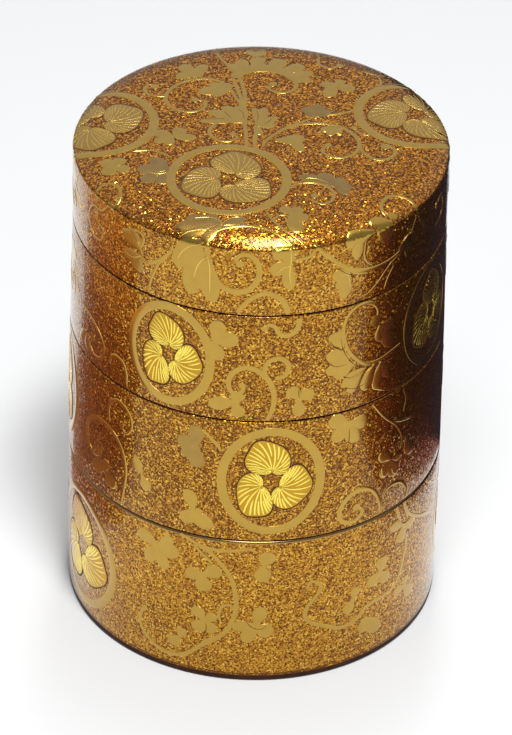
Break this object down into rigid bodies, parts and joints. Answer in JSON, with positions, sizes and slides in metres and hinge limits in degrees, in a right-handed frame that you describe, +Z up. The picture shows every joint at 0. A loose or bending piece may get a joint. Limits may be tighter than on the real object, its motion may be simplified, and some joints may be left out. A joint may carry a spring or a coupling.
{
  "type": "tiered incense box",
  "caption": "Round lacquered incense box of stacked tiers under a low domed lid, each tier hollow and lifting off, with raised gold scrollwork.",
  "frame": {"origin": "centre of the underside, on the surface that the box stands on", "axes": "+Z up along the turning axis, -Y towards the front, +X to the front's right"},
  "size_m": [0.0666, 0.0666, 0.0926],
  "materials": {
    "gold_ground": "sprinkled gold flakes under clear amber lacquer, polished",
    "raised_gold": "raised lacquer dusted with gold powder, satin",
    "dark_lacquer": "plain dark brown lacquer, polished"
  },
  "bodies": {
    "root": {"lower_tier": "gold_ground", "middle_tier": "gold_ground", "upper_tier": "gold_ground", "lid": "gold_ground"}
  },
  "joints": []
}
